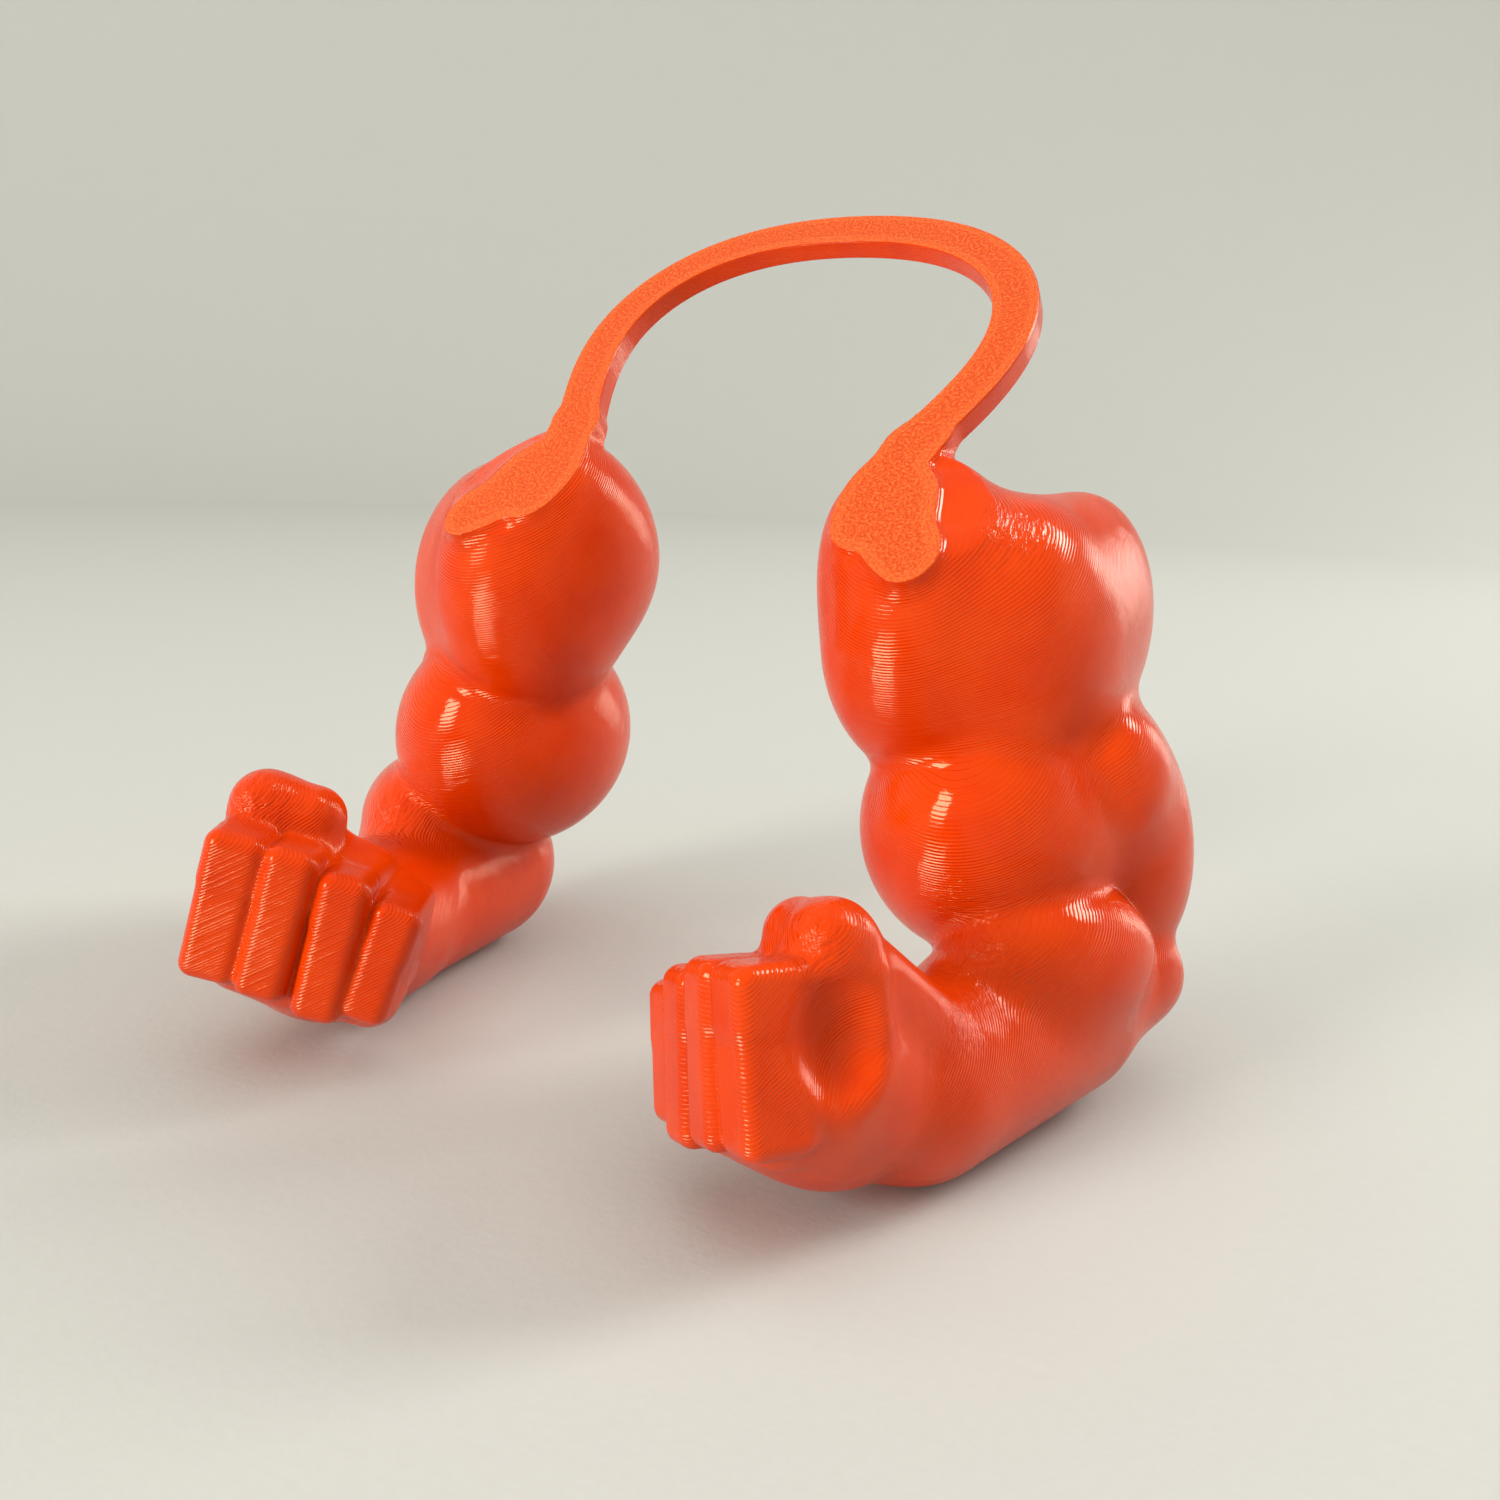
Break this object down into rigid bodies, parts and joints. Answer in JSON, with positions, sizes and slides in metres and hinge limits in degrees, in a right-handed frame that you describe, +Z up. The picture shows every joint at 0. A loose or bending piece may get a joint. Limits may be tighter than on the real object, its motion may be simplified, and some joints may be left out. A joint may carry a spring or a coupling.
{
  "type": "clip-on toy muscle arms",
  "caption": "Springy C-shaped band carrying two bent muscular arms with clenched fists, worn clipped round a small neck or body.",
  "frame": {"origin": "middle of the underside of the whole object's box, standing on both forearms", "axes": "+X to the wearer's left (the longest side), +Y to the wearer's back (the shortest side), fists point to -Y, +Z up; the flat face of the band leans back 41.07 degrees from horizontal"},
  "size_m": [0.1214, 0.0908, 0.1084],
  "materials": {
    "arm_print": "glossy printed plastic with fine layer lines",
    "band_print": "printed plastic, grainy on the flat front, layered on the edges"
  },
  "bodies": {
    "band": {"band_bridge": "band_print"},
    "left_arm": {"band_left": "band_print", "left_shoulder": "arm_print", "left_biceps": "arm_print", "left_triceps": "arm_print", "left_forearm": "arm_print", "left_hand": "arm_print", "left_thumb": "arm_print", "left_index_finger": "arm_print", "left_middle_finger": "arm_print", "left_ring_finger": "arm_print", "left_little_finger": "arm_print"},
    "right_arm": {"band_right": "band_print", "right_shoulder": "arm_print", "right_biceps": "arm_print", "right_triceps": "arm_print", "right_forearm": "arm_print", "right_hand": "arm_print", "right_thumb": "arm_print", "right_index_finger": "arm_print", "right_middle_finger": "arm_print", "right_ring_finger": "arm_print", "right_little_finger": "arm_print"}
  },
  "joints": [
    {"name": "left_flex", "type": "hinge", "parent": "band", "child": "left_arm", "pos_m": [0.02149, 0.03751, 0.10125], "axis": [0, -0.657, 0.7539], "range_deg": [-5, 12], "stiffness_Nm_per_rad": 3.6},
    {"name": "right_flex", "type": "hinge", "parent": "band", "child": "right_arm", "pos_m": [-0.02149, 0.03751, 0.10125], "axis": [0, 0.657, -0.7539], "range_deg": [-5, 12], "stiffness_Nm_per_rad": 3.6}
  ]
}
